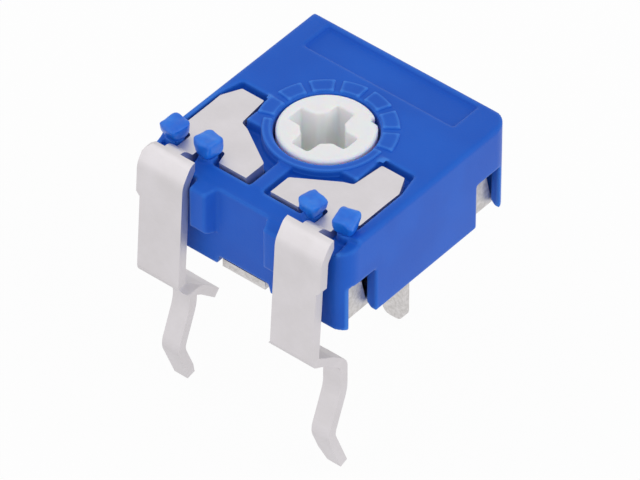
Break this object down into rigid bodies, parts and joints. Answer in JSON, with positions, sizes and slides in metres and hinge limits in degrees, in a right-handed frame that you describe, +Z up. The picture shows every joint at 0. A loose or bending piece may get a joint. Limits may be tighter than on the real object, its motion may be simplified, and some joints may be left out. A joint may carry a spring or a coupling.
{
  "type": "rotary potentiometer",
  "caption": "Small square blue trimmer potentiometer with a white cross-slot rotor on top and three crimped metal pins for a printed board",
  "frame": {"origin": "midway between the two front pins, where they enter the board", "axes": "+Z up along the rotor's axis, +X along the front face through both front pins, +Y from the front pins towards the rear pin"},
  "size_m": [0.0065, 0.0074, 0.0089],
  "materials": {
    "blue_plastic": "satin",
    "white_plastic": "satin",
    "contact_bronze": "satin",
    "phenolic": "matte",
    "carbon": "matte",
    "silver_print": "matte",
    "tinned_sheet": "satin"
  },
  "bodies": {
    "base": {"housing": "blue_plastic", "element_board": "phenolic", "carbon_track": "carbon", "left_electrode": "silver_print", "right_electrode": "silver_print", "left_terminal": "tinned_sheet", "right_terminal": "tinned_sheet", "collector_plate": "tinned_sheet"},
    "knob": {"rotor": "white_plastic", "wiper_spring": "contact_bronze"}
  },
  "joints": [
    {"name": "rotor_turn", "type": "hinge", "parent": "base", "child": "knob", "pos_m": [0, 0.00267, 0.003], "axis": [0, 0, 1], "range_deg": [-117.5, 117.5]}
  ]
}
